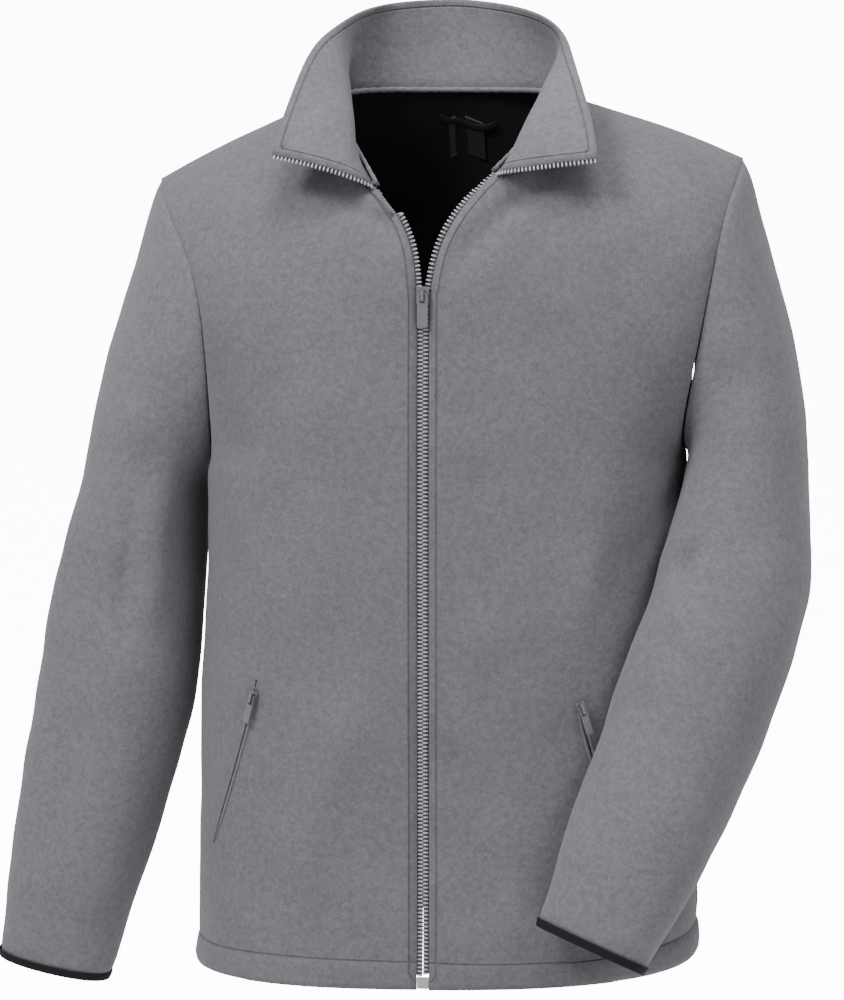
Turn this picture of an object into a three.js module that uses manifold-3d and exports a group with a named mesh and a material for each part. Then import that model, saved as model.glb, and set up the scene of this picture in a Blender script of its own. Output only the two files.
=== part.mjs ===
import * as THREE from 'three';
import Module from 'manifold-3d';
import { mergeVertices } from 'three/addons/utils/BufferGeometryUtils.js';

// A men's fleece zip jacket, size L, filled out as it is worn, with nobody in it.
// Millimetres. +Z is up, the front faces -Y and the wearer's left arm is at +X.
// The origin is the middle of the shoulder line, where the wearer's shoulders carry it.

// Cloth
const WALL = 2.6;
const SEAM_GAP = 0.3;
const LONGEST_MITRE = 1.3;

// Body
const HEM_LEVEL = -704;
const HEM_STITCH_LEVEL = -682;
const HEM_PROUD = 0.9;
const HEM_GROOVE = 0.8;
const UNDERARM_LEVEL = -288;
const SLIDER_TOP_LEVEL = -138;
const FRONT_EDGE = 5;
const FRONT_EDGE_AT_SLIDER = 6.2;
const SIDE_SEAM_Y = 5;
const SIDE_RISE = 0.04;
const SHOULDER_CROWN = 3;
const FRONT_COLUMNS = 12;
const BACK_COLUMNS = 12;
const ARMHOLE_STEPS = 14;
// Rows of points between the underarm and the shoulder tip, counted up from the underarm.
const CHEST_STEP = 4;
const SLIDER_STEP = 6;
const CROWN_STEP = 8;
const NECK_STEP = 9;
const NAPE_STEP = 10;
const NAPE_LEVEL = 12;
// The torso's sections are ovals squared by this power of their sine and cosine.
const SQUARED = 0.8;
const SHOULDER_TURN = 40;

// Sleeves
const SLEEVE_CLEARANCE = { right: 3, left: 10 };
const SLEEVE_SQUARED = 0.9;
const CLEARANCE_POWER = 2.5;
const CAP_SHARE = 0.3;
const FOLD_SCALE = 300;
const CUFF_BINDING_WIDTH = 6;
const BINDING_WALL = 0.9;
const BINDING_EASE = { outside: 0.5, inside: 1.4 };

// Collar
const COLLAR_ROWS = 7;
const COLLAR_SPACING = 1.15;

// Zips
const BEAD_REACH = 4.8;
const BEAD_ROOT = 2;
const BEAD_SINK = 0.2;
const TAPE_UNDER = 7;
const TAPE_SLACK_IN_V = 0.9;
const TAPE_WALL = 0.75;
const ZIP_BOX = { wide: 9, deep: 3.4, bottom: -703, top: -694, sink: 0.3, gap: 0.5 };
const SLIDER_LEVEL = -145;
const SLIDER = { wide: 10, tall: 13, plate: 1.6, bridge: 2.6, tab: 8.5, tab_length: 27 };
const REAR_PLATE = 1.2;
const WEB = 0.7;
const POCKET_SLIDER = { wide: 7, tall: 10, plate: 1.3, bridge: 2.2, tab: 6, tab_length: 24 };
const POCKET_STRIP = { wide: 7, under: 0.4, edge: 1.3, middle: 1.7, curve: 1.15, slider_at: 0.06 };
const POCKETS = {
  right: { x0: 139, level0: -459, x1: 183, level1: -603 },
  left: { x0: 122, level0: -468, x1: 166, level1: -612 },
};
const POCKET_STEPS = 8;

// Inside the back neck
const LABEL = { x: 5, wide: 32, top: -6, tall: 33, thick: 0.6, ease: 0.6, rows: 4, columns: 6 };
const LOOP = { from: -17, to: 32, top: 2, drop: 12, wide: 5, thick: 0.6, ease: 0.2, steps: 14 };

// The torso's width and depth at heights up from the hem.
const TORSO = [
  { level: HEM_LEVEL, wide: 213, front: 133, back: 123 },
  { level: HEM_STITCH_LEVEL, wide: 211.5, front: 132, back: 120 },
  { level: -640, wide: 210, front: 131, back: 116 },
  { level: -575, wide: 208.5, front: 131, back: 113 },
  { level: -491, wide: 204.5, front: 132, back: 113 },
  { level: -400, wide: 201, front: 133, back: 117 },
  { level: -288, wide: 198, front: 134, back: 123 },
];

// Heights of the rows of points between the hem and the underarm.
const BODY_LEVELS = [
  HEM_LEVEL, -685, HEM_STITCH_LEVEL, -679, -640, -598, -555, -510, -465, -420, -375, -330, UNDERARM_LEVEL,
];

// Heights of the rows at centre front between the underarm's height and the slider.
const CHEST_LEVELS = [UNDERARM_LEVEL, -262, -236, -208, -180, -152, SLIDER_TOP_LEVEL];

// Centre front from the underarm's height to the slider, as height and depth.
const CENTRE_FRONT = [
  { level: -288, y: -129 },
  { level: -200, y: -127 },
  { level: -152, y: -125.5 },
  { level: -138, y: -125 },
];

// Centre back from the underarm's height to the nape.
const CENTRE_BACK = [
  { level: -288, y: 128 },
  { level: -200, y: 129 },
  { level: -110, y: 118 },
  { level: -40, y: 92 },
  { level: 12, y: 66 },
];

// The open V above the slider, up to the neck seam, on each side.
const OPENING = {
  right: [
    { x: 9, y: -122, z: -106 },
    { x: 24, y: -114, z: -81 },
  ],
  left: [
    { x: 12, y: -122, z: -106 },
    { x: 29, y: -114, z: -76 },
  ],
};

// Armholes from the underarm to the shoulder tip.
const ARMHOLE = {
  right_front: [
    { x: 198, y: 5, z: -288 },
    { x: 192, y: -32, z: -279 },
    { x: 187, y: -60, z: -253 },
    { x: 185, y: -78, z: -214 },
    { x: 187, y: -84, z: -172 },
    { x: 194, y: -80, z: -131 },
    { x: 209, y: -66, z: -99 },
    { x: 225, y: -43, z: -75 },
    { x: 236, y: -16, z: -57 },
    { x: 241, y: 5, z: -50 },
  ],
  left_front: [
    { x: 198, y: 5, z: -288 },
    { x: 197, y: -32, z: -281 },
    { x: 200, y: -58, z: -256 },
    { x: 208, y: -72, z: -216 },
    { x: 216, y: -76, z: -174 },
    { x: 223, y: -72, z: -134 },
    { x: 229, y: -60, z: -101 },
    { x: 235, y: -40, z: -76 },
    { x: 240, y: -16, z: -58 },
    { x: 241, y: 5, z: -50 },
  ],
  back: [
    { x: 198, y: 5, z: -288 },
    { x: 198, y: 40, z: -281 },
    { x: 197, y: 66, z: -256 },
    { x: 198, y: 82, z: -216 },
    { x: 202, y: 88, z: -174 },
    { x: 209, y: 85, z: -134 },
    { x: 219, y: 72, z: -101 },
    { x: 230, y: 50, z: -75 },
    { x: 238, y: 26, z: -57 },
    { x: 241, y: 5, z: -50 },
  ],
};

// Sections of the collar from its front edge to the nape: the seam point, the point that the
// cloth bends round, and the top edge. Station 5 is the shoulder seam.
const COLLAR = {
  right: [
    { bx: 46, by: -97, bz: -62, cx: 66, cy: -120, cz: -47, tx: 123, ty: -108, tz: -38 },
    { bx: 57, by: -84, bz: -46, cx: 56, cy: -106, cz: -22, tx: 118, ty: -97, tz: -14 },
    { bx: 70, by: -66, bz: -28, cx: 44, cy: -84, cz: -6, tx: 113, ty: -80, tz: 8 },
    { bx: 83, by: -42, bz: -9, cx: 50, cy: -48, cz: 16, tx: 108, ty: -58, tz: 33 },
    { bx: 92, by: -18, bz: 3, cx: 62, cy: -14, cz: 32, tx: 101, ty: -32, tz: 53 },
    { bx: 96, by: 5, bz: 9, cx: 76, cy: 12, cz: 42, tx: 89, ty: 2, tz: 66 },
    { bx: 89, by: 28, bz: 12, cx: 84, cy: 34, cz: 48, tx: 76, ty: 32, tz: 78 },
    { bx: 66, by: 49, bz: 13, cx: 66, cy: 56, cz: 52, tx: 53, ty: 57, tz: 84 },
    { bx: 34, by: 61, bz: 12, cx: 34, cy: 70, cz: 54, tx: 27, ty: 70, tz: 86 },
    { bx: 0, by: 66, bz: 12, cx: 0, cy: 76, cz: 54, tx: 0, ty: 75, tz: 87 },
  ],
  left: [
    { bx: 55, by: -95, bz: -51, cx: 76, cy: -119, cz: -46, tx: 134, ty: -108, tz: -40 },
    { bx: 66, by: -82, bz: -38, cx: 70, cy: -105, cz: -18, tx: 131, ty: -97, tz: -21 },
    { bx: 76, by: -64, bz: -24, cx: 60, cy: -84, cz: -4, tx: 124, ty: -80, tz: -2 },
    { bx: 87, by: -40, bz: -7, cx: 66, cy: -50, cz: 16, tx: 116, ty: -58, tz: 18 },
    { bx: 94, by: -18, bz: 4, cx: 76, cy: -18, cz: 32, tx: 106, ty: -28, tz: 38 },
    { bx: 96, by: 5, bz: 9, cx: 84, cy: 12, cz: 42, tx: 98, ty: 2, tz: 55 },
    { bx: 89, by: 28, bz: 12, cx: 88, cy: 34, cz: 48, tx: 83, ty: 27, tz: 69 },
    { bx: 66, by: 49, bz: 13, cx: 68, cy: 56, cz: 52, tx: 58, ty: 52, tz: 79 },
    { bx: 34, by: 61, bz: 12, cx: 34, cy: 70, cz: 54, tx: 28, ty: 68, tz: 84 },
    { bx: 0, by: 66, bz: 12, cx: 0, cy: 76, cz: 54, tx: 0, ty: 75, tz: 87 },
  ],
};

// The sleeves' oval sections below the armhole: centre, half width and half depth.
const SLEEVE = {
  right: [
    { x: 257, y: 5, z: -335, wide: 53, deep: 84 },
    { x: 267, y: 1, z: -407, wide: 61, deep: 76 },
    { x: 280, y: -6, z: -491, wide: 65, deep: 67 },
    { x: 298, y: -14, z: -575, wide: 62, deep: 58 },
    { x: 319, y: -23, z: -658, wide: 55, deep: 46 },
    { x: 333, y: -28, z: -727, wide: 48, deep: 31 },
  ],
  left: [
    { x: 246, y: -16, z: -318, wide: 53, deep: 84 },
    { x: 241, y: -38, z: -372, wide: 63, deep: 78 },
    { x: 223, y: -66, z: -430, wide: 66, deep: 70 },
    { x: 195, y: -100, z: -515, wide: 63, deep: 59 },
    { x: 163, y: -130, z: -597, wide: 56, deep: 45 },
    { x: 137, y: -149, z: -658, wide: 46, deep: 29 },
  ],
};

// Soft folds on the front: from one point to another, how wide and how high (a trough is below 0).
const FRONT_FOLDS = {
  right: [
    { x0: 30, z0: -480, x1: 120, z1: -640, wide: 34, high: 4 },
    { x0: 95, z0: -120, x1: 35, z1: -180, wide: 24, high: -4 },
    { x0: 175, z0: -230, x1: 120, z1: -420, wide: 30, high: 4 },
  ],
  left: [
    { x0: 120, z0: -60, x1: 40, z1: -125, wide: 20, high: -5 },
    { x0: 20, z0: -500, x1: 75, z1: -570, wide: 20, high: -4 },
    { x0: 60, z0: -400, x1: 105, z1: -500, wide: 24, high: 4 },
    { x0: 175, z0: -200, x1: 140, z1: -380, wide: 30, high: 4 },
  ],
};
const BACK_FOLDS = [
  { x0: -120, z0: -330, x1: -60, z1: -620, wide: 38, high: -5 },
  { x0: 110, z0: -300, x1: 50, z1: -600, wide: 34, high: -5 },
  { x0: -150, z0: -150, x1: -90, z1: -330, wide: 30, high: 4 },
  { x0: 150, z0: -160, x1: 100, z1: -300, wide: 32, high: 4 },
];

// Folds of the sleeves: where round (0 is the outer line, 90 the front) and how far down.
const SLEEVE_FOLDS = {
  right: [
    { turn0: 60, down0: 0.25, turn1: 75, down1: 0.75, wide: 22, high: -6 },
    { turn0: 20, down0: 0.3, turn1: 25, down1: 0.8, wide: 26, high: 4 },
    { turn0: 250, down0: 0.4, turn1: 290, down1: 0.75, wide: 24, high: -5 },
  ],
  left: [
    { turn0: 100, down0: 0.44, turn1: 30, down1: 0.36, wide: 16, high: -6 },
    { turn0: 110, down0: 0.55, turn1: 60, down1: 0.5, wide: 18, high: 4 },
    { turn0: 250, down0: 0.35, turn1: 300, down1: 0.6, wide: 24, high: -5 },
  ],
};

const CLOTH = new THREE.MeshStandardMaterial({ color: 0x6f7076, roughness: 0.95, metalness: 0 });
const BLACK = new THREE.MeshStandardMaterial({ color: 0x16161a, roughness: 0.85, metalness: 0 });
const TEETH = new THREE.MeshStandardMaterial({ color: 0x85868c, roughness: 0.5, metalness: 0 });
const METAL = new THREE.MeshStandardMaterial({ color: 0x6c6d72, roughness: 0.4, metalness: 0.7 });

const v3 = (x, y, z) => new THREE.Vector3(x, y, z);
const SIDES = { right: -1, left: 1 };
const jacket = new THREE.Group();

// The value of a column at a height, on a smooth curve through the rows of a table.
function atLevel(rows, column, level) {
  const sorted = [...rows].sort((a, b) => a.level - b.level);
  const last = sorted.length - 1;
  if (level <= sorted[0].level) return sorted[0][column];
  if (level >= sorted[last].level) return sorted[last][column];
  const slope = (i) => {
    const low = sorted[Math.max(i - 1, 0)];
    const high = sorted[Math.min(i + 1, last)];
    return (high[column] - low[column]) / (high.level - low.level);
  };
  const i = sorted.findIndex((row) => row.level > level) - 1;
  const span = sorted[i + 1].level - sorted[i].level;
  const t = (level - sorted[i].level) / span;
  return hermite(sorted[i][column], sorted[i + 1][column], slope(i) * span, slope(i + 1) * span, t);
}

// Runs from 0 at the first place to 1 at the second.
function smooth(from, to, at) {
  return THREE.MathUtils.clamp((at - from) / (to - from), 0, 1);
}

function hermite(start, end, startSlope, endSlope, t) {
  const a = 2 * t ** 3 - 3 * t ** 2 + 1;
  const b = -2 * t ** 3 + 3 * t ** 2;
  const c = t ** 3 - 2 * t ** 2 + t;
  const d = t ** 3 - t ** 2;
  return a * start + b * end + c * startSlope + d * endSlope;
}

// A point on the smooth curve through a list of points, t from 0 to 1.
function onCurve(points, t) {
  const last = points.length - 1;
  const place = Math.min(Math.max(t, 0), 1) * last;
  const i = Math.min(Math.floor(place), last - 1);
  const slope = (k, axis) => {
    const low = Math.max(k - 1, 0);
    const high = Math.min(k + 1, last);
    return (points[high][axis] - points[low][axis]) / (high - low);
  };
  const value = (axis) =>
    hermite(points[i][axis], points[i + 1][axis], slope(i, axis), slope(i + 1, axis), place - i);
  return v3(value('x'), value('y'), value('z'));
}

// The sheet of cloth is a list of outer points with the four-sided patches between them.
function newSheet() {
  return { points: [], patches: [] };
}

function addPatch(sheet, a, b, c, d) {
  sheet.patches.push([a, b, c, d]);
}

const keyOf = (point) => point.toArray().map((n) => Math.round(n * 50)).join(' ');

function patchNormal(sheet, patch) {
  const [a, b, c, d] = patch.map((i) => sheet.points[i]);
  return c.clone().sub(a).cross(d.clone().sub(b));
}

// Edges that belong to one patch only are the sheet's rim.
function rimEdges(sheet) {
  const seen = new Map();
  sheet.patches.forEach((patch, index) => {
    patch.forEach((from, i) => {
      const to = patch[(i + 1) % 4];
      seen.set(`${from} ${to}`, { from, to, index });
    });
  });
  return [...seen.values()].filter((edge) => !seen.has(`${edge.to} ${edge.from}`));
}

function measureSheet(sheet) {
  sheet.normals = sheet.points.map(() => v3(0, 0, 0));
  for (const patch of sheet.patches) {
    const normal = patchNormal(sheet, patch);
    patch.forEach((i) => sheet.normals[i].add(normal));
  }
  sheet.normals.forEach((normal) => normal.normalize());
  sheet.rim = rimEdges(sheet);
  sheet.inward = new Map();
  for (const { from, to, index } of sheet.rim) {
    const middle = v3(0, 0, 0);
    sheet.patches[index].forEach((i) => middle.addScaledVector(sheet.points[i], 0.25));
    const start = sheet.points[from];
    const along = sheet.points[to].clone().sub(start).normalize();
    const inward = middle.sub(start);
    inward.addScaledVector(along, -inward.dot(along)).normalize();
    for (const i of [from, to]) {
      sheet.inward.set(i, [...(sheet.inward.get(i) ?? []), inward]);
    }
  }
}

// Panels that lie in one line count once where three of them meet.
function distinct(normals) {
  const kept = [];
  for (const normal of normals) {
    if (kept.every((other) => other.dot(normal) < 0.8)) kept.push(normal);
  }
  return kept;
}

// Where rims of sheets meet, both walls end on the plane halfway between them.
function mitre(sheets) {
  const meeting = new Map();
  for (const sheet of sheets) {
    for (const i of sheet.inward.keys()) {
      const key = keyOf(sheet.points[i]);
      meeting.set(key, [...(meeting.get(key) ?? []), sheet.normals[i]]);
    }
  }
  for (const sheet of sheets) {
    sheet.outer = sheet.points.map((point) => point.clone());
    sheet.depth = sheet.normals.map((normal) => normal.clone().multiplyScalar(-WALL));
    for (const [i, pulls] of sheet.inward) {
      const met = meeting.get(keyOf(sheet.points[i]));
      const normal = sheet.normals[i];
      const middle = v3(0, 0, 0);
      const ways = met.length > 2 ? distinct(met) : met;
      ways.forEach((other) => middle.add(other));
      if (middle.length() < 0.2) middle.copy(normal);
      middle.normalize();
      const longer = 1 / Math.max(middle.dot(normal), 1 / LONGEST_MITRE);
      sheet.depth[i] = middle.clone().multiplyScalar(-WALL * longer);
      if (met.length > 1) {
        const pull = v3(0, 0, 0);
        pulls.forEach((way) => pull.add(way));
        const corner = pulls.length > 1 ? 1 + pulls[0].dot(pulls[1]) : 1;
        pull.multiplyScalar(1 / Math.max(corner, 0.4));
        const along = pull.dot(middle);
        const across = Math.sqrt(Math.max(1 - along * along, 0.1));
        sheet.outer[i].addScaledVector(pull, SEAM_GAP / 2 / across);
      }
    }
  }
}

// A closed solid from a list of points and faces of three or four corners.
function solid(points, faces) {
  const positions = new Float32Array(points.flatMap((point) => point.toArray()));
  const index = faces.flatMap(([a, b, c, d]) => (d === undefined ? [a, b, c] : [a, b, c, a, c, d]));
  let volume = 0;
  for (let i = 0; i < index.length; i += 3) {
    const [a, b, c] = [0, 1, 2].map((k) => points[index[i + k]]);
    volume += a.dot(b.clone().cross(c));
  }
  if (volume < 0) index.reverse();
  const geometry = new THREE.BufferGeometry();
  geometry.setAttribute('position', new THREE.BufferAttribute(positions, 3));
  geometry.setIndex(index);
  geometry.computeVertexNormals();
  return geometry;
}

function addPart(name, geometry, material) {
  const mesh = new THREE.Mesh(geometry, material);
  mesh.name = name;
  jacket.add(mesh);
  return mesh;
}

// The wall of a sheet: outer points, points one wall further in, and a rim between them.
function wallSolid(sheet) {
  const count = sheet.outer.length;
  const inner = sheet.outer.map((point, i) => point.clone().add(sheet.depth[i]));
  const faces = [];
  for (const [a, b, c, d] of sheet.patches) {
    faces.push([a, b, c, d]);
    faces.push([d + count, c + count, b + count, a + count]);
  }
  // Both sides of a seam split their rims along the same diagonals, so the rims lie alike.
  for (const { from, to } of sheet.rim) {
    const first = keyOf(sheet.points[to]) < keyOf(sheet.points[from]);
    const low = [to, from, from + count, to + count];
    faces.push(first ? low : [from, from + count, to + count, to]);
  }
  return solid([...sheet.outer, ...inner], faces);
}

// Frames are a point, a way across (side) and a way out (out). An outline of [side, out] pairs
// is placed on each, and the sections are joined and closed at the ends.
function sweep(frames, outlineAt, closed = false) {
  const sections = frames.map(({ point, side, out }, i) => outlineAt(i).map(([s, o]) =>
    point.clone().addScaledVector(side, s).addScaledVector(out, o)));
  const outline = outlineAt(0).map(([s, o]) => new THREE.Vector2(s, o));
  return sweptSolid(sections, THREE.ShapeUtils.triangulateShape(outline, []), closed);
}

function sweptSolid(sections, cap, closed) {
  const sides = sections[0].length;
  const faces = [];
  const count = sections.length;
  const steps = closed ? count : count - 1;
  for (let i = 0; i < steps; i += 1) {
    const next = (i + 1) % count;
    for (let j = 0; j < sides; j += 1) {
      const k = (j + 1) % sides;
      faces.push([i * sides + j, i * sides + k, next * sides + k, next * sides + j]);
    }
  }
  if (!closed) {
    const base = (count - 1) * sides;
    for (const [a, b, c] of cap) {
      faces.push([c, b, a]);
      faces.push([base + a, base + b, base + c]);
    }
  }
  return solid(sections.flat(), faces);
}

// The height that a fold gives a point, soft across and fading at both ends.
function foldHeight(folds, across, along) {
  let height = 0;
  for (const { x0, z0, x1, z1, wide, high } of folds) {
    const length = Math.hypot(x1 - x0, z1 - z0);
    const ux = (x1 - x0) / length;
    const uz = (z1 - z0) / length;
    const forward = (across - x0) * ux + (along - z0) * uz;
    const aside = (across - x0) * uz - (along - z0) * ux;
    const middle = (forward / length - 0.5) * 2;
    const fade = Math.exp(-(Math.abs(middle) ** 4));
    height += high * fade * Math.exp(-((aside / wide) ** 2));
  }
  return height;
}

// A row of a panel bows from its inner edge a to its outer edge b, through a turn in degrees.
function rowPoint(a, b, turn, crown, s) {
  const full = THREE.MathUtils.degToRad(turn);
  const x = (Math.sin(full * s) / Math.sin(full)) ** SQUARED;
  const floor = Math.max(Math.cos(full), 0) ** SQUARED;
  const y = (Math.max(Math.cos(full * s), 0) ** SQUARED - floor) / (1 - floor);
  const rise = crown * Math.sin(Math.PI * s);
  return v3(a.x + (b.x - a.x) * x, b.y + (a.y - b.y) * y, a.z + (b.z - a.z) * x + rise);
}

const seamPoint = (side, station) => {
  const row = COLLAR[side][station];
  return { x: row.bx, y: row.by, z: row.bz };
};

// Near the underarm a row ends where the armhole cuts the torso's oval, and higher up it
// flattens step by step towards the shoulder seam.
function turnOf(face, armhole, k) {
  const deep = atLevel(TORSO, face, UNDERARM_LEVEL);
  const cut = Math.abs(onCurve(armhole, Math.min(k, CHEST_STEP) / ARMHOLE_STEPS).y - SIDE_SEAM_Y);
  const turn = THREE.MathUtils.radToDeg(Math.acos((cut / deep) ** (1 / SQUARED)));
  const up = Math.max(k - CHEST_STEP, 0) / (ARMHOLE_STEPS - CHEST_STEP);
  return THREE.MathUtils.lerp(turn, SHOULDER_TURN, up);
}

function bodyRow(side, face, level) {
  const front = face === 'front';
  const wide = atLevel(TORSO, 'wide', level);
  const deep = atLevel(TORSO, face, level) * (front ? -1 : 1) + SIDE_SEAM_Y;
  const a = { x: front ? FRONT_EDGE : 0, y: deep, z: level };
  const b = { x: wide, y: SIDE_SEAM_Y, z: level + SIDE_RISE * SIDES[side] * wide };
  return { a, b, turn: 90, crown: 0 };
}

// The two ends, the turn and the crown of each row of a front or back panel, hem to shoulder.
function panelRows(side, face) {
  const sign = SIDES[side];
  const front = face === 'front';
  const rows = BODY_LEVELS.slice(0, -1).map((level) => bodyRow(side, face, level));
  const armhole = front ? ARMHOLE[`${side}_front`] : ARMHOLE.back;
  for (let k = 0; k <= ARMHOLE_STEPS; k += 1) {
    const b = onCurve(armhole, k / ARMHOLE_STEPS);
    b.z += SIDE_RISE * sign * b.x;
    const a = front ? frontEdge(side, k) : backEdge(side, k);
    const up = Math.max(k - CROWN_STEP, 0) / (ARMHOLE_STEPS - CROWN_STEP);
    rows.push({ a, b, turn: turnOf(face, armhole, k), crown: SHOULDER_CROWN * up ** 2 });
  }
  return rows;
}

function frontEdge(side, k) {
  if (k <= SLIDER_STEP) {
    const x = k === SLIDER_STEP ? FRONT_EDGE_AT_SLIDER : FRONT_EDGE;
    return { x, y: atLevel(CENTRE_FRONT, 'y', CHEST_LEVELS[k]), z: CHEST_LEVELS[k] };
  }
  if (k < NECK_STEP) return OPENING[side][k - SLIDER_STEP - 1];
  return seamPoint(side, k - NECK_STEP);
}

function backEdge(side, k) {
  if (k < NAPE_STEP) {
    const level = THREE.MathUtils.lerp(UNDERARM_LEVEL, NAPE_LEVEL, k / NAPE_STEP);
    return { x: 0, y: atLevel(CENTRE_BACK, 'y', level), z: level };
  }
  return seamPoint(side, COLLAR[side].length - 1 - (k - NAPE_STEP));
}

// The hem's doubled band stands a little proud below its stitch line, which lies in a groove.
function hemRelief(level) {
  if (level > HEM_STITCH_LEVEL + 1) return 0;
  return level > HEM_STITCH_LEVEL - 1 ? -HEM_GROOVE : HEM_PROUD;
}

function panelPoint(side, face, row, level, s) {
  const sign = SIDES[side];
  const point = rowPoint(row.a, row.b, row.turn, row.crown, s);
  point.x *= sign;
  const folds = face === 'front' ? FRONT_FOLDS[side] : BACK_FOLDS;
  const across = face === 'front' ? sign * point.x : point.x;
  const edge = Math.sin(Math.PI * s) ** 0.7;
  const high = foldHeight(folds, across, point.z) * edge + hemRelief(level);
  const away = v3(point.x, (point.y - SIDE_SEAM_Y) * 1.4, 0).normalize();
  if (row.crown > 0) away.z = row.crown / SHOULDER_CROWN;
  return point.addScaledVector(away, high);
}

function frontSheet(side) {
  const sheet = newSheet();
  const rows = panelRows(side, 'front');
  rows.forEach((row, r) => {
    const level = BODY_LEVELS[r] ?? 0;
    for (let c = 0; c <= FRONT_COLUMNS; c += 1) {
      sheet.points.push(panelPoint(side, 'front', row, level, c / FRONT_COLUMNS));
    }
  });
  addGrid(sheet, rows.length, (r, c) => r * (FRONT_COLUMNS + 1) + c, FRONT_COLUMNS, side === 'right');
  return sheet;
}

function addGrid(sheet, rowCount, at, columns, turned) {
  for (let r = 0; r + 1 < rowCount; r += 1) {
    for (let c = 0; c < columns; c += 1) {
      const corners = [at(r, c), at(r, c + 1), at(r + 1, c + 1), at(r + 1, c)];
      if (turned) corners.reverse();
      addPatch(sheet, ...corners);
    }
  }
}

// The back is one panel: its halves share the centre line up to the nape.
function backSheet() {
  const sheet = newSheet();
  const indexOf = {};
  for (const side of ['right', 'left']) {
    const rows = panelRows(side, 'back');
    rows.forEach((row, r) => {
      const level = BODY_LEVELS[r] ?? 0;
      for (let c = 0; c <= BACK_COLUMNS; c += 1) {
        const shared = c === 0 && r <= BODY_LEVELS.length - 1 + NAPE_STEP;
        const key = shared ? `centre ${r}` : `${side} ${r} ${c}`;
        if (indexOf[key] === undefined) {
          indexOf[key] = sheet.points.length;
          sheet.points.push(panelPoint(side, 'back', row, level, c / BACK_COLUMNS));
        }
        indexOf[`${side} ${r} ${c}`] = indexOf[key];
      }
    });
    addGrid(sheet, rows.length, (r, c) => indexOf[`${side} ${r} ${c}`], BACK_COLUMNS, side === 'left');
  }
  return sheet;
}

// Stations of the whole collar from the right front edge round the nape to the left.
function collarStations() {
  const right = COLLAR.right.map((row) => ({ ...row, bx: -row.bx, cx: -row.cx, tx: -row.tx }));
  return [...right, ...COLLAR.left.slice(0, -1).reverse()];
}

function collarPoint(row, v) {
  const b = v3(row.bx, row.by, row.bz);
  const c = v3(row.cx, row.cy, row.cz);
  const t = v3(row.tx, row.ty, row.tz);
  const point = b.multiplyScalar((1 - v) ** 2);
  point.addScaledVector(c, 2 * v * (1 - v));
  return point.addScaledVector(t, v * v);
}

function collarSheet() {
  const sheet = newSheet();
  const stations = collarStations();
  const columns = stations.length;
  for (const row of stations) {
    for (let r = 0; r <= COLLAR_ROWS; r += 1) {
      sheet.points.push(collarPoint(row, (r / COLLAR_ROWS) ** COLLAR_SPACING));
    }
  }
  addGrid(sheet, columns, (r, c) => r * (COLLAR_ROWS + 1) + c, COLLAR_ROWS, false);
  return sheet;
}

// The armhole loop: from the shoulder tip down the front, under the arm and up the back.
function armholePoint(side, place) {
  const half = place <= 1 ? ARMHOLE[`${side}_front`] : ARMHOLE.back;
  const t = place <= 1 ? 1 - place : place - 1;
  const point = onCurve(half, t);
  point.z += SIDE_RISE * SIDES[side] * point.x;
  return point;
}

// A sleeve section is an oval, squared to the sleeve's line.
function sleeveRing(side, t) {
  const rows = SLEEVE[side];
  const centre = onCurve(rows, t);
  const before = onCurve(rows, Math.max(t - 0.02, 0));
  const after = onCurve(rows, Math.min(t + 0.02, 1));
  const down = after.sub(before).normalize();
  const outward = v3(1, 0, 0).addScaledVector(down, -down.x).normalize();
  const forward = outward.clone().cross(down).normalize();
  if (forward.y > 0) forward.negate();
  const size = onCurve(rows.map((row) => ({ x: row.wide, y: row.deep, z: 0 })), t);
  return { centre, down, outward, forward, wide: size.x, deep: size.y };
}

function ringPoint(ring, angle) {
  const cos = Math.cos(angle);
  const sin = Math.sin(angle);
  const point = ring.centre.clone();
  const squared = (value) => Math.sign(value) * Math.abs(value) ** SLEEVE_SQUARED;
  point.addScaledVector(ring.outward, ring.wide * squared(cos));
  return point.addScaledVector(ring.forward, ring.deep * squared(sin));
}

// Cloth that would lie inside the torso is pressed out, just clear of it.
function clearOfTorso(point, clearance) {
  const level = point.z;
  if (level > UNDERARM_LEVEL) return point;
  const face = point.y < SIDE_SEAM_Y ? 'front' : 'back';
  const near = Math.min((UNDERARM_LEVEL - level) / 10, 1);
  const gap = clearance * near;
  const wide = atLevel(TORSO, 'wide', level) + gap;
  const deep = atLevel(TORSO, face, level) + gap;
  const share = (value, limit) => (Math.abs(value) / limit) ** CLEARANCE_POWER;
  const size = share(point.x, wide) + share(point.y - SIDE_SEAM_Y, deep);
  if (size >= 1) return point;
  const scale = size ** (-1 / CLEARANCE_POWER);
  point.x *= scale;
  point.y = SIDE_SEAM_Y + (point.y - SIDE_SEAM_Y) * scale;
  return point;
}

const SLEEVE_SIDES = 2 * ARMHOLE_STEPS;
const CAP_STEPS = [0, 0.14, 0.32, 0.52, 0.74, 1];
const ARM_STEPS = [0.1, 0.2, 0.3, 0.4, 0.5, 0.6, 0.7, 0.8, 0.9, 1];

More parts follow.
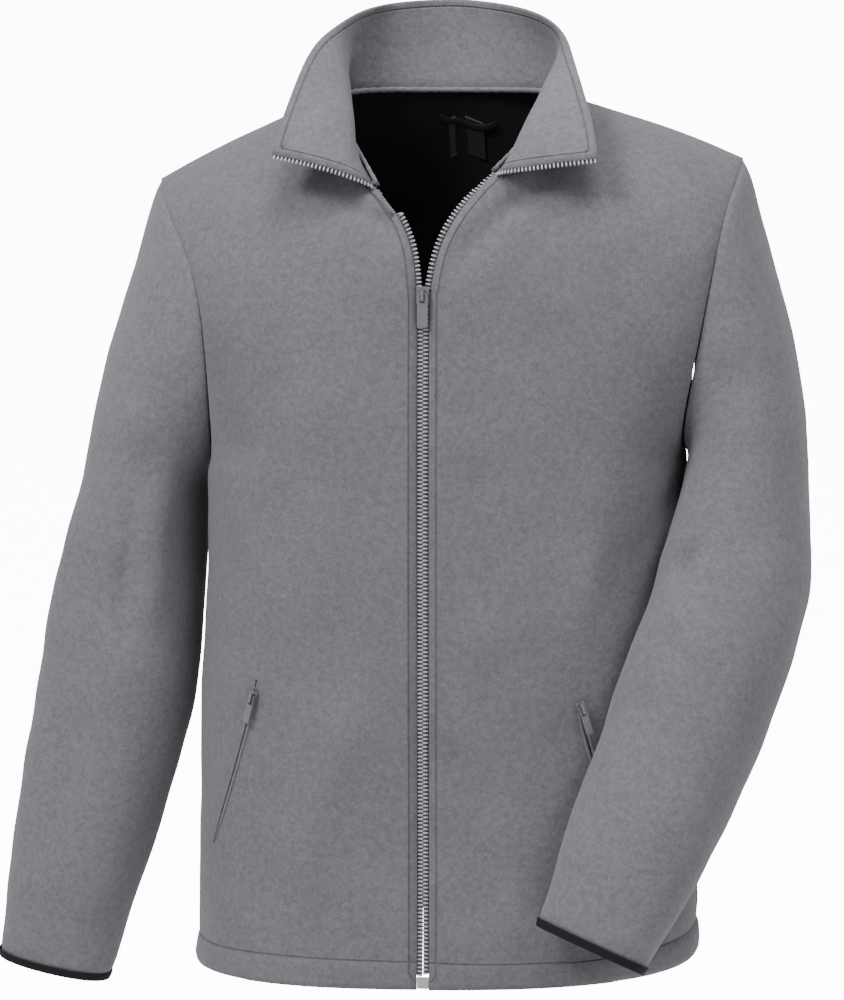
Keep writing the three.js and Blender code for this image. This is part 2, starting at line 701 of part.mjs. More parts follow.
function sleevePoint(side, i, step) {
  const place = i / ARMHOLE_STEPS;
  const angle = place * Math.PI;
  const under = (1 - Math.cos(angle)) / 2;
  let point;
  let down;
  if (step.cap !== undefined) {
    const start = armholePoint(side, place);
    const ring = sleeveRing(side, 0);
    const end = ringPoint(ring, angle);
    const leave = v3(0.3 + 0.6 * under, 0, -0.92 + 0.35 * under).normalize();
    const reach = start.distanceTo(end);
    leave.multiplyScalar(reach);
    const arrive = ring.down.clone().multiplyScalar(reach);
    const on = (axis) => hermite(start[axis], end[axis], leave[axis], arrive[axis], step.cap);
    point = v3(on('x'), on('y'), on('z'));
    down = CAP_SHARE * step.cap;
  } else {
    point = ringPoint(sleeveRing(side, step.arm), angle);
    down = THREE.MathUtils.lerp(CAP_SHARE, 1, step.arm);
  }
  if (down > 0) {
    const turn = place * 180;
    const folds = SLEEVE_FOLDS[side].map((fold) => ({
      x0: fold.turn0, z0: fold.down0 * FOLD_SCALE, x1: fold.turn1, z1: fold.down1 * FOLD_SCALE,
      wide: fold.wide, high: fold.high,
    }));
    const high = foldHeight(folds, turn, down * FOLD_SCALE) * Math.min(down * 4, 1);
    const centre = sleeveRing(side, step.arm ?? 0).centre;
    const away = v3(point.x - centre.x, point.y - centre.y, 0).normalize();
    point.addScaledVector(away, high);
  }
  const low = smooth(UNDERARM_LEVEL - 60, UNDERARM_LEVEL - 140, point.z) * smooth(-650, -610, point.z);
  const clearance = THREE.MathUtils.lerp(SLEEVE_CLEARANCE.right, SLEEVE_CLEARANCE[side], low);
  return down > 0 ? clearOfTorso(point, clearance) : point;
}

function sleeveSheet(side) {
  const sheet = newSheet();
  const steps = [...CAP_STEPS.map((cap) => ({ cap })), ...ARM_STEPS.map((arm) => ({ arm }))];
  for (const step of steps) {
    for (let i = 0; i < SLEEVE_SIDES; i += 1) {
      const point = sleevePoint(side, i, step);
      point.x *= SIDES[side];
      sheet.points.push(point);
    }
  }
  const at = (r, c) => r * SLEEVE_SIDES + (c % SLEEVE_SIDES);
  addGrid(sheet, steps.length, at, SLEEVE_SIDES, side === 'right');
  sheet.lastRing = (steps.length - 1) * SLEEVE_SIDES;
  return sheet;
}

const sheets = {
  front_right: frontSheet('right'),
  front_left: frontSheet('left'),
  back: backSheet(),
  sleeve_right: sleeveSheet('right'),
  sleeve_left: sleeveSheet('left'),
  collar: collarSheet(),
};
Object.values(sheets).forEach(measureSheet);
mitre(Object.values(sheets));
for (const [name, sheet] of Object.entries(sheets)) {
  addPart(name, wallSolid(sheet), CLOTH.clone());
}

// The frame at one of a sheet's points: the way across runs to a neighbour, square to the edge.
function edgeFrame(sheet, index, neighbour, before, after) {
  const point = sheet.outer[index];
  const out = sheet.normals[index].clone();
  const edge = sheet.outer[after].clone().sub(sheet.outer[before]).normalize();
  const side = sheet.outer[neighbour].clone().sub(point);
  side.addScaledVector(edge, -side.dot(edge)).normalize();
  out.addScaledVector(side, -out.dot(side)).addScaledVector(edge, -out.dot(edge)).normalize();
  return { point, side, out };
}

// Cuff bindings fold round the sleeves' ends.
function cuffBinding(side) {
  const sheet = sheets[`sleeve_${side}`];
  const last = sheet.lastRing;
  const frames = [];
  for (let i = 0; i < SLEEVE_SIDES; i += 1) {
    const before = last + ((i + SLEEVE_SIDES - 1) % SLEEVE_SIDES);
    const after = last + ((i + 1) % SLEEVE_SIDES);
    frames.push(edgeFrame(sheet, last + i, last + i - SLEEVE_SIDES, before, after));
  }
  const far = SEAM_GAP + BINDING_WALL;
  const outline = [
    [-far, far],
    [CUFF_BINDING_WIDTH, far + BINDING_EASE.outside],
    [CUFF_BINDING_WIDTH, SEAM_GAP + BINDING_EASE.outside],
    [-SEAM_GAP, SEAM_GAP],
    [-SEAM_GAP, -WALL - SEAM_GAP],
    [CUFF_BINDING_WIDTH, -WALL - SEAM_GAP - BINDING_EASE.inside],
    [CUFF_BINDING_WIDTH, -WALL - far - BINDING_EASE.inside],
    [-far, -WALL - far],
  ];
  addPart(`cuff_binding_${side}`, sweep(frames, () => outline, true), BLACK.clone());
}

// The tape lies behind the front's edge, and its tooth bead stands in the opening.
function zipTape(side) {
  const sheet = sheets[`front_${side}`];
  const columns = FRONT_COLUMNS + 1;
  const neckRow = BODY_LEVELS.length - 1 + NECK_STEP;
  const sliderRow = BODY_LEVELS.length - 1 + SLIDER_STEP;
  const frames = [];
  for (let r = 1; r < neckRow; r += 1) {
    const at = r * columns;
    frames.push(edgeFrame(sheet, at, at + 1, at - columns, at + columns));
  }
  // The lowest section stands on the box.
  const drop = (BODY_LEVELS[1] - ZIP_BOX.top - ZIP_BOX.gap) / (BODY_LEVELS[1] - BODY_LEVELS[0]);
  frames.unshift({ ...frames[0], point: frames[0].point.clone().lerp(sheet.outer[0], drop) });
  const outline = (i) => {
    const slack = i > sliderRow ? TAPE_SLACK_IN_V : 0;
    const face = -WALL - SEAM_GAP - slack;
    return [
      [-BEAD_REACH, -BEAD_SINK],
      [-BEAD_REACH, face - TAPE_WALL],
      [TAPE_UNDER, face - TAPE_WALL],
      [TAPE_UNDER, face],
      [-BEAD_ROOT, face],
      [-BEAD_ROOT, -BEAD_SINK],
    ];
  };
  addPart(`zip_tape_${side}`, sweep(frames, outline), TEETH.clone());
}

// On the collar only the bead shows, along the front edge up to its corner.
function collarBead(side) {
  const sheet = sheets.collar;
  const rows = COLLAR_ROWS + 1;
  const station = side === 'right' ? 0 : sheet.points.length / rows - 1;
  const next = side === 'right' ? 1 : station - 1;
  const frames = [];
  for (let r = 1; r < rows; r += 1) {
    const at = station * rows + r;
    const after = Math.min(r + 1, rows - 1) + station * rows;
    frames.push(edgeFrame(sheet, at, next * rows + r, at - 1, after));
  }
  const outline = [
    [-BEAD_REACH + BEAD_ROOT, -BEAD_SINK],
    [-BEAD_REACH + BEAD_ROOT, BEAD_SINK - WALL],
    [-SEAM_GAP, BEAD_SINK - WALL],
    [-SEAM_GAP, -BEAD_SINK],
  ];
  addPart(`zip_collar_${side}`, sweep(frames, () => outline), TEETH.clone());
}

const wasm = await Module();
wasm.setup();

function toManifold(geometry) {
  const plain = geometry.clone();
  plain.deleteAttribute('normal');
  plain.deleteAttribute('uv');
  const merged = mergeVertices(plain, 1e-4);
  const vertProperties = new Float32Array(merged.getAttribute('position').array);
  const triVerts = new Uint32Array(merged.index.array);
  return new wasm.Manifold(new wasm.Mesh({ numProp: 3, vertProperties, triVerts }));
}

function fromManifold(manifold) {
  const mesh = manifold.getMesh();
  const geometry = new THREE.BufferGeometry();
  geometry.setAttribute('position', new THREE.BufferAttribute(mesh.vertProperties, 3));
  geometry.setIndex(new THREE.BufferAttribute(mesh.triVerts, 1));
  geometry.computeVertexNormals();
  return geometry;
}

// A box given by its lowest and highest corners.
function block(low, high) {
  const size = high.map((value, i) => value - low[i]);
  const geometry = new THREE.BoxGeometry(...size);
  geometry.translate(...high.map((value, i) => (value + low[i]) / 2));
  return geometry;
}

// Slider and pull tab share a frame: X across, -Y out of the cloth, Z up the zip. The bridge
// is an arch on the slider's plate, and the tab's top bar turns inside it.
const BRIDGE_WALL = 1.4;
const BRIDGE_ROOM = 2.85;
const BRIDGE_HALF = 2.6;
const PLATE_CLEARANCE = 0.15;
const TAB_WALL = 1.4;
const TAB_BAR = 1.2;
const TAB_CORNER = 1.6;
const TAB_SLOT = { side: 0.7, tall: 7.2 };

function sliderParts(size) {
  const plateBack = -PLATE_CLEARANCE;
  const plateFront = plateBack - size.plate;
  const half = size.bridge / 2;
  const bridgeFront = plateFront - BRIDGE_ROOM - BRIDGE_WALL;
  const outer = BRIDGE_HALF + BRIDGE_WALL;
  const [wide, tall] = [size.wide / 2, size.tall / 2];
  const plate = block([-wide, plateFront, -tall], [wide, plateBack, tall]);
  const arch = block([-half, bridgeFront, -outer], [half, plateFront + 0.2, outer]);
  const past = half + 1;
  const roomFront = plateFront - BRIDGE_ROOM;
  const room = block([-past, roomFront, -BRIDGE_HALF], [past, plateFront, BRIDGE_HALF]);
  return toManifold(plate).add(toManifold(arch).subtract(toManifold(room)));
}

// The pull tab's hinge line, in the slider's frame.
function hingeOf(size) {
  const plateFront = -PLATE_CLEARANCE - size.plate;
  return v3(0, plateFront - BRIDGE_ROOM / 2, BRIDGE_HALF - 1);
}

function pullTab(size) {
  const hinge = hingeOf(size);
  const half = size.tab / 2;
  const corner = TAB_CORNER;
  const top = TAB_BAR / 2;
  const end = -size.tab_length;
  const shape = new THREE.Shape();
  shape.moveTo(-half + corner, top);
  shape.lineTo(half - corner, top);
  shape.quadraticCurveTo(half, top, half, top - corner);
  shape.lineTo(half, end + corner);
  shape.quadraticCurveTo(half, end, half - corner, end);
  shape.lineTo(-half + corner, end);
  shape.quadraticCurveTo(-half, end, -half, end + corner);
  shape.lineTo(-half, top - corner);
  shape.quadraticCurveTo(-half, top, -half + corner, top);
  const slot = size.bridge / 2 + TAB_SLOT.side;
  const hole = new THREE.Path();
  hole.moveTo(-slot, -top);
  hole.lineTo(-slot, -top - TAB_SLOT.tall);
  hole.lineTo(slot, -top - TAB_SLOT.tall);
  hole.lineTo(slot, -top);
  hole.lineTo(-slot, -top);
  shape.holes.push(hole);
  const tab = new THREE.ExtrudeGeometry(shape, { depth: TAB_WALL, bevelEnabled: false, curveSegments: 3 });
  tab.rotateX(Math.PI / 2);
  tab.translate(hinge.x, hinge.y + TAB_WALL / 2, hinge.z);
  return tab;
}

// The main slider also has a web between the beads and a plate behind them.
function mainZip() {
  const y = atLevel(CENTRE_FRONT, 'y', SLIDER_LEVEL) - 0.35;
  const back = WALL + SEAM_GAP + TAPE_WALL + TAPE_SLACK_IN_V + 0.75;
  const web = block([-WEB / 2, -0.3, 1.5], [WEB / 2, back + 0.2, SLIDER.tall / 2]);
  const half = [SLIDER.wide / 2, SLIDER.tall / 2];
  const rear = block([-half[0], back, -half[1]], [half[0], back + REAR_PLATE, half[1]]);
  const slider = fromManifold(sliderParts(SLIDER).add(toManifold(web)).add(toManifold(rear)));
  addPart('zip_slider', slider, METAL.clone()).position.set(0, y, SLIDER_LEVEL);
  addPart('zip_pull', pullTab(SLIDER), METAL.clone()).position.set(0, y, SLIDER_LEVEL);
  const front = SIDE_SEAM_Y - TORSO[0].front - HEM_PROUD + ZIP_BOX.sink;
  const box = block(
    [-ZIP_BOX.wide / 2, front, ZIP_BOX.bottom],
    [ZIP_BOX.wide / 2, front + ZIP_BOX.deep, ZIP_BOX.top],
  );
  addPart('zip_box', box, TEETH.clone());
}

// A pocket zip runs slantwise over the front panel, on the panel's own surface.
function frontSurface(side, x, level) {
  const row = bodyRow(side, 'front', level);
  const s = Math.asin(((x - row.a.x) / (row.b.x - row.a.x)) ** (1 / SQUARED)) / (Math.PI / 2);
  return panelPoint(side, 'front', row, level, s);
}

function pocketFrame(side, t) {
  const at = (x, level) => frontSurface(side, x, level);
  const { x0, level0, x1, level1 } = POCKETS[side];
  const x = THREE.MathUtils.lerp(x0, x1, t ** POCKET_STRIP.curve);
  const level = THREE.MathUtils.lerp(level0, level1, t);
  const aside = at(x + 1, level).sub(at(x - 1, level)).normalize();
  const up = at(x, level + 1).sub(at(x, level - 1)).normalize();
  const out = aside.clone().cross(up).normalize();
  if (out.y > 0) out.negate();
  const down = aside.clone().multiplyScalar(x1 - x0).addScaledVector(up, level1 - level0).normalize();
  const across = out.clone().cross(down).normalize();
  return { point: at(x, level), side: across, out, down };
}

function pocket(side) {
  const frames = [];
  for (let i = 0; i <= POCKET_STEPS; i += 1) frames.push(pocketFrame(side, i / POCKET_STEPS));
  const half = POCKET_STRIP.wide / 2;
  const outline = [
    [-half, POCKET_STRIP.under],
    [half, POCKET_STRIP.under],
    [half, POCKET_STRIP.edge],
    [half / 3, POCKET_STRIP.middle],
    [-half / 3, POCKET_STRIP.middle],
    [-half, POCKET_STRIP.edge],
  ];
  addPart(`pocket_zip_${side}`, sweep(frames, () => outline), BLACK.clone());
  const frame = pocketFrame(side, POCKET_STRIP.slider_at);
  const up = frame.down.clone().negate();
  const inward = frame.out.clone().negate();
  const across = inward.clone().cross(up);
  const place = new THREE.Matrix4().makeBasis(across, inward, up);
  const seat = frame.point.clone().addScaledVector(frame.out, POCKET_STRIP.middle);
  for (const [name, geometry] of [
    [`pocket_slider_${side}`, fromManifold(sliderParts(POCKET_SLIDER))],
    [`pocket_pull_${side}`, pullTab(POCKET_SLIDER)],
  ]) {
    const mesh = addPart(name, geometry, METAL.clone());
    mesh.quaternion.setFromRotationMatrix(place);
    mesh.position.copy(seat);
  }
}

// The inside of the back near the nape, at a place across and a height.
function backFrame(x, level) {
  const side = x < 0 ? 'right' : 'left';
  const at = (px, pl) => {
    const k = ((pl - UNDERARM_LEVEL) / (NAPE_LEVEL - UNDERARM_LEVEL)) * NAPE_STEP;
    const b = onCurve(ARMHOLE.back, k / ARMHOLE_STEPS);
    b.z += SIDE_RISE * SIDES[side] * b.x;
    const a = { x: 0, y: atLevel(CENTRE_BACK, 'y', pl), z: pl };
    const turn = turnOf('back', ARMHOLE.back, k);
    const full = THREE.MathUtils.degToRad(turn);
    const reach = (Math.abs(px) / b.x) ** (1 / SQUARED);
    const s = Math.asin(reach * Math.sin(full)) / full;
    const point = rowPoint(a, b, turn, 0, s);
    point.x *= SIDES[side];
    return point;
  };
  const aside = at(x + 0.5, level).sub(at(x, level)).normalize();
  const up = at(x, level + 1).sub(at(x, level - 1)).normalize();
  const inward = aside.clone().cross(up).normalize();
  if (inward.y > 0) inward.negate();
  return { point: at(x, level), aside, up, out: inward };
}

// A thin piece that lies on the inside of the back, made from the back's own points.
function liningPiece(name, rows, near, thick) {
  const sheet = newSheet();
  const columns = rows[0].length;
  sheet.outer = [];
  sheet.depth = [];
  for (const frame of rows.flat()) {
    sheet.outer.push(frame.point.clone().addScaledVector(frame.out, near + thick));
    sheet.depth.push(frame.out.clone().multiplyScalar(-thick));
  }
  addGrid(sheet, rows.length, (r, c) => r * columns + c, columns - 1, false);
  sheet.points = sheet.outer;
  sheet.rim = rimEdges(sheet);
  addPart(name, wallSolid(sheet), BLACK.clone());
}

const LABEL_NEAR = WALL + SEAM_GAP + LABEL.ease;

function neckLabel() {
  const rows = [];
  for (let i = 0; i <= LABEL.rows; i += 1) {
    const row = [];
    for (let j = 0; j <= LABEL.columns; j += 1) {
      const x = LABEL.x + LABEL.wide * (j / LABEL.columns - 0.5);
      row.push(backFrame(x, LABEL.top - (LABEL.tall * i) / LABEL.rows));
    }
    rows.push(row);
  }
  liningPiece('neck_label', rows, LABEL_NEAR, LABEL.thick);
}

function hangerLoop() {
  const rows = [];
  for (let i = 0; i <= LOOP.steps; i += 1) {
    const t = i / LOOP.steps;
    const x = THREE.MathUtils.lerp(LOOP.from, LOOP.to, t);
    const level = LOOP.top - LOOP.drop * Math.sin(Math.PI * t) ** 0.7;
    rows.push([backFrame(x, level), backFrame(x, level - LOOP.wide)]);
  }
  liningPiece('hanger_loop', rows, LABEL_NEAR + LABEL.thick + SEAM_GAP + LOOP.ease, LOOP.thick);
}

for (const side of ['right', 'left']) {
  cuffBinding(side);
  zipTape(side);
  collarBead(side);
  pocket(side);
}
mainZip();
neckLabel();
hangerLoop();

export default jacket;
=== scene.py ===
import math

import bmesh
import bpy
import numpy as np
from mathutils import Matrix, Vector, noise
from mathutils.bvhtree import BVHTree
from mathutils.kdtree import KDTree


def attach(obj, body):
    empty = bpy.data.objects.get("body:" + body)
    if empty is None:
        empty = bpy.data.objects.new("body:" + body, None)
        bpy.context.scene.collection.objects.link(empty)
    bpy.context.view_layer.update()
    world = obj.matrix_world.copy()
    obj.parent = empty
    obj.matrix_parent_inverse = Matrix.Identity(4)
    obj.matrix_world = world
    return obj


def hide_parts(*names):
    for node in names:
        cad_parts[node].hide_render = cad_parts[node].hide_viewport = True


# A men's fleece zip jacket, filled out as it is worn. The cloth is a finer form of the frame's
# own walls, with seams, folds and nap added; the zips get teeth, tapes and lips. Metres.

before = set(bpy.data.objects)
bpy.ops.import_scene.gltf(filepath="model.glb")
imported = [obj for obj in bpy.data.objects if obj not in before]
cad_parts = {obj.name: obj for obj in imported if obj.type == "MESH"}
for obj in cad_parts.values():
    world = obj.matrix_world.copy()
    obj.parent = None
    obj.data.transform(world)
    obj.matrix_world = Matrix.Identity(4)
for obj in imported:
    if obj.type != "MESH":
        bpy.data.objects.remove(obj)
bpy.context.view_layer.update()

MM = 0.001
WALL = 2.6 * MM
RIM_ANGLE = math.radians(48)
RIM_LENGTH = 3.9 * MM
SMOOTHING_STEPS = 2
SEAM_DIP = {"deep": 1.5 * MM, "wide": 4.5 * MM}
UNDULATION = {"high": 2.4 * MM, "size": 0.085}
LABEL_PLACE = (0.005, 0.1, -0.02)

FRONT_EDGE = 5 * MM
HEM_Z = -0.704
HEM_STITCH_Z = -0.682
NECK_CORNER = {"right": (-0.046, -0.097, -0.062), "left": (0.055, -0.095, -0.051)}
COLLAR_TIP = {"right": (-0.123, -0.108, -0.038), "left": (0.134, -0.108, -0.040)}
SIDES = {"right": -1, "left": 1}

TOOTH_PITCH = 3.2 * MM
TOOTH = {"long": 4.2 * MM, "tall": 1.7 * MM, "deep": 2.0 * MM}
TAPE = {"in": 4.0 * MM, "thick": 0.5 * MM, "down": 1.5 * MM}
SLIDER_Z = -0.145
CHAIN_BOTTOM_Z = -0.692

POCKETS = {
    "right": {"x0": -0.139, "z0": -0.459, "x1": -0.183, "z1": -0.603},
    "left": {"x0": 0.122, "z0": -0.468, "x1": 0.166, "z1": -0.612},
}
POCKET_CURVE = 1.15
LIP = {"wide": 3.0 * MM, "high": 1.5 * MM, "gap": 0.7 * MM}

# Folds: from one point to another, half width and height (below 0 is a trough), in millimetres.
FOLD_COLUMNS = ("x0", "y0", "z0", "x1", "y1", "z1", "wide", "high")
FOLDS = {
    "front_left": [
        (96, -95, -44, 22, -120, -122, 9, -5.5),
        (110, -85, -62, 44, -112, -138, 12, 3.0),
        (12, -128, -498, 57, -126, -561, 10, -3.0),
        (37, -127, -398, 86, -120, -490, 14, 2.5),
        (150, -95, -250, 120, -112, -430, 16, 2.0),
        (196, -40, -300, 150, -90, -360, 10, -3.5),
    ],
    "front_right": [
        (-88, -95, -58, -18, -120, -98, 8, -4.0),
        (-26, -127, -430, -112, -112, -622, 18, 2.5),
        (-60, -120, -200, -150, -95, -330, 20, 1.8),
        (-40, -126, -300, -80, -120, -470, 16, -1.6),
        (-175, -80, -170, -150, -95, -300, 12, -2.2),
    ],
    "back": [
        (-150, 90, -170, -60, 125, -420, 18, -3.0),
        (140, 95, -190, 70, 122, -400, 16, -2.6),
        (-90, 112, -480, -30, 115, -660, 16, 2.4),
        (120, 100, -450, 150, 85, -640, 14, -2.6),
        (20, 118, -120, -40, 125, -260, 20, -1.8),
    ],
    "sleeve_right": [
        (-240, -68, -262, -262, -76, -448, 11, -3.6),
        (-212, -70, -300, -232, -68, -420, 12, 2.6),
        (-300, -40, -320, -318, -36, -450, 12, 2.2),
        (-300, -62, -500, -330, -58, -640, 13, -2.4),
        (-255, -50, -520, -290, -45, -660, 11, 2.2),
        (-275, 60, -330, -330, 40, -520, 14, -3.0),
        (-250, -60, -215, -228, -72, -300, 10, -2.4),
    ],
    "sleeve_left": [
        (176, -115, -372, 268, -70, -312, 9, -6.0),
        (190, -120, -402, 280, -80, -352, 12, 3.2),
        (172, -130, -420, 250, -110, -420, 10, -3.0),
        (210, -120, -470, 150, -165, -590, 14, -2.4),
        (240, -90, -480, 190, -130, -590, 13, 2.4),
        (232, -76, -200, 262, -60, -290, 10, -2.6),
        (248, -52, -92, 262, -40, -140, 6, -2.4),
        (270, 30, -300, 250, 10, -430, 14, -3.0),
    ],
}


def material(name):
    made = bpy.data.materials.new(name)
    made.use_nodes = True
    return made, made.node_tree.nodes, made.node_tree.links, made.node_tree.nodes["Principled BSDF"]


def fleece_group():
    """Nap, pile clumps and mottling of brushed fleece, as a tint and a height."""
    group = bpy.data.node_groups.new("Fleece", "ShaderNodeTree")
    face = group.interface
    face.new_socket("Colour", in_out="INPUT", socket_type="NodeSocketColor")
    face.new_socket("Dip", in_out="INPUT", socket_type="NodeSocketFloat")
    face.new_socket("Colour", in_out="OUTPUT", socket_type="NodeSocketColor")
    face.new_socket("Normal", in_out="OUTPUT", socket_type="NodeSocketVector")
    nodes, links = group.nodes, group.links
    given, result = nodes.new("NodeGroupInput"), nodes.new("NodeGroupOutput")
    place = nodes.new("ShaderNodeTexCoord")

    def grain(scale, detail, rough):
        made = nodes.new("ShaderNodeTexNoise")
        made.inputs["Scale"].default_value = scale
        made.inputs["Detail"].default_value = detail
        made.inputs["Roughness"].default_value = rough
        links.new(place.outputs["Object"], made.inputs["Vector"])
        return made.outputs["Fac"]

    def span(value, low, high, start=0.3, end=0.7):
        made = nodes.new("ShaderNodeMapRange")
        made.inputs["From Min"].default_value = start
        made.inputs["From Max"].default_value = end
        made.inputs["To Min"].default_value = low
        made.inputs["To Max"].default_value = high
        links.new(value, made.inputs["Value"])
        return made.outputs["Result"]

    def times(a, b):
        made = nodes.new("ShaderNodeMath")
        made.operation = "MULTIPLY"
        links.new(a, made.inputs[0])
        links.new(b, made.inputs[1])
        return made.outputs["Value"]

    nap, clump, broad = grain(900, 3, 0.65), grain(210, 4, 0.6), grain(14, 3, 0.55)
    tint = times(times(span(nap, 0.8, 1.24), span(clump, 0.84, 1.16)), span(broad, 0.93, 1.06))
    scale = nodes.new("ShaderNodeVectorMath")
    scale.operation = "SCALE"
    links.new(given.outputs["Colour"], scale.inputs[0])
    links.new(tint, scale.inputs["Scale"])
    links.new(scale.outputs["Vector"], result.inputs["Colour"])
    coarse = nodes.new("ShaderNodeBump")
    coarse.inputs["Strength"].default_value = 0.5
    coarse.inputs["Distance"].default_value = 1.2 * MM
    links.new(clump, coarse.inputs["Height"])
    fine = nodes.new("ShaderNodeBump")
    fine.inputs["Strength"].default_value = 0.45
    fine.inputs["Distance"].default_value = 0.5 * MM
    links.new(nap, fine.inputs["Height"])
    links.new(coarse.outputs["Normal"], fine.inputs["Normal"])
    groove = nodes.new("ShaderNodeBump")
    groove.inputs["Strength"].default_value = 1.0
    groove.inputs["Distance"].default_value = 1.1 * MM
    groove.invert = True
    links.new(given.outputs["Dip"], groove.inputs["Height"])
    links.new(fine.outputs["Normal"], groove.inputs["Normal"])
    links.new(groove.outputs["Normal"], result.inputs["Normal"])
    return group


def stitch_group():
    """A row of machine stitches at a set distance: 1 on the row's groove, with the dashes of thread."""
    group = bpy.data.node_groups.new("Stitch row", "ShaderNodeTree")
    face = group.interface
    for name in ("Distance", "Along", "Row", "Half width", "Stitch"):
        face.new_socket(name, in_out="INPUT", socket_type="NodeSocketFloat")
    face.new_socket("Mask", in_out="OUTPUT", socket_type="NodeSocketFloat")
    nodes, links = group.nodes, group.links
    given, result = nodes.new("NodeGroupInput"), nodes.new("NodeGroupOutput")

    def calc(operation, a, b):
        made = nodes.new("ShaderNodeMath")
        made.operation = operation
        for i, value in enumerate((a, b)):
            if isinstance(value, (int, float)):
                made.inputs[i].default_value = value
            elif value is not None:
                links.new(value, made.inputs[i])
        return made.outputs["Value"]

    away = calc("ABSOLUTE", calc("SUBTRACT", given.outputs["Distance"], given.outputs["Row"]), None)
    share = calc("DIVIDE", away, given.outputs["Half width"])
    line = calc("MAXIMUM", calc("SUBTRACT", 1.0, share), 0.0)
    phase = calc("FRACT", calc("DIVIDE", given.outputs["Along"], given.outputs["Stitch"]), None)
    dash = calc("LESS_THAN", calc("ABSOLUTE", calc("SUBTRACT", phase, 0.5), None), 0.38)
    links.new(calc("MULTIPLY", line, calc("ADD", calc("MULTIPLY", dash, 0.35), 0.65)), result.inputs["Mask"])
    return group


FLEECE = fleece_group()
STITCH = stitch_group()


def fleece(name, colour, rows=(), inside=False):
    """rows is a list of (distance attribute, along attribute, distance of the row)."""
    made, nodes, links, shader = material(name)
    cloth = nodes.new("ShaderNodeGroup")
    cloth.node_tree = FLEECE
    cloth.inputs["Colour"].default_value = (*colour, 1)
    total = None
    for distance, along, row in rows:
        stitch = nodes.new("ShaderNodeGroup")
        stitch.node_tree = STITCH
        for socket, attribute in (("Distance", distance), ("Along", along)):
            read = nodes.new("ShaderNodeAttribute")
            read.attribute_name = attribute
            links.new(read.outputs["Fac"], stitch.inputs[socket])
        stitch.inputs["Row"].default_value = row
        stitch.inputs["Half width"].default_value = 1.1 * MM
        stitch.inputs["Stitch"].default_value = 2.9 * MM
        if total is None:
            total = stitch.outputs["Mask"]
        else:
            most = nodes.new("ShaderNodeMath")
            most.operation = "MAXIMUM"
            links.new(total, most.inputs[0])
            links.new(stitch.outputs["Mask"], most.inputs[1])
            total = most.outputs["Value"]
    if total is not None:
        links.new(total, cloth.inputs["Dip"])
        # The stitch rows darken the cloth's colour: painted shade along the stitch grooves, deeper on the
        # thread's dashes.
        painted_stitch_shade = nodes.new("ShaderNodeMix")
        painted_stitch_shade.data_type = "RGBA"
        painted_stitch_shade.blend_type = "MULTIPLY"
        soft = nodes.new("ShaderNodeMath")
        soft.operation = "MULTIPLY"
        soft.inputs[1].default_value = 0.45
        links.new(total, soft.inputs[0])
        links.new(soft.outputs["Value"], painted_stitch_shade.inputs["Factor"])
        links.new(cloth.outputs["Colour"], painted_stitch_shade.inputs["A"])
        painted_stitch_shade.inputs["B"].default_value = (0.35, 0.35, 0.37, 1)
        links.new(painted_stitch_shade.outputs["Result"], shader.inputs["Base Color"])
    else:
        links.new(cloth.outputs["Colour"], shader.inputs["Base Color"])
    links.new(cloth.outputs["Normal"], shader.inputs["Normal"])
    shader.inputs["Roughness"].default_value = 0.95
    shader.inputs["Specular IOR Level"].default_value = 0.15
    shader.inputs["Sheen Weight"].default_value = 0.01 if inside else 0.07
    shader.inputs["Sheen Roughness"].default_value = 0.55
    shader.inputs["Sheen Tint"].default_value = (0.8, 0.82, 0.9, 1)
    return made


def woven(name, colour, scale, rough=0.7, metallic=0.0, strength=0.35):
    """Fine ribs and small stains on tape, thread, plastic or enamelled metal."""
    made, nodes, links, shader = material(name)
    place = nodes.new("ShaderNodeTexCoord")
    wave = nodes.new("ShaderNodeTexNoise")
    wave.inputs["Scale"].default_value = scale
    wave.inputs["Detail"].default_value = 2
    links.new(place.outputs["Object"], wave.inputs["Vector"])
    ramp = nodes.new("ShaderNodeMix")
    ramp.data_type = "RGBA"
    ramp.inputs["A"].default_value = (*[c * 0.85 for c in colour], 1)
    ramp.inputs["B"].default_value = (*[c * 1.15 for c in colour], 1)
    links.new(wave.outputs["Fac"], ramp.inputs["Factor"])
    links.new(ramp.outputs["Result"], shader.inputs["Base Color"])
    bump = nodes.new("ShaderNodeBump")
    bump.inputs["Strength"].default_value = strength
    bump.inputs["Distance"].default_value = 0.25 * MM
    links.new(wave.outputs["Fac"], bump.inputs["Height"])
    links.new(bump.outputs["Normal"], shader.inputs["Normal"])
    shader.inputs["Roughness"].default_value = rough
    shader.inputs["Metallic"].default_value = metallic
    shader.inputs["Specular IOR Level"].default_value = 0.5 if rough < 0.5 else 0.12
    return made


GREY = (0.052, 0.0525, 0.0575)
BODY_ROWS = [("opening", "run", 6 * MM), ("height", "around", HEM_STITCH_Z)]
CLOTH = {
    "body": fleece("Body fleece", GREY, BODY_ROWS),
    "back": fleece("Back fleece", GREY, [("height", "around", HEM_STITCH_Z), ("rim", "run", 3 * MM)]),
    "sleeve": fleece("Sleeve fleece", (0.056, 0.0565, 0.0615)),
    "collar": fleece("Collar fleece", (0.061, 0.0615, 0.067), [("opening", "run", 6 * MM)]),
    "inside": fleece("Dark reverse", (0.0022, 0.0022, 0.003), inside=True),
}
BINDING = woven("Elastic binding", (0.0022, 0.0022, 0.0027), 900, 0.85)
LABEL = woven("Woven label", (0.0045, 0.0045, 0.005), 1800, 0.45, strength=0.2)
TAPE_LOOP = woven("Hanger tape", (0.005, 0.005, 0.006), 1200, 0.7)
TEETH = woven("Moulded teeth", (0.13, 0.131, 0.14), 300, 0.42, strength=0.1)
ZIP_TAPE = woven("Zip tape", (0.05, 0.0505, 0.056), 1500, 0.85)
METAL = woven("Enamelled metal", (0.075, 0.076, 0.083), 500, 0.38, 0.5, 0.12)


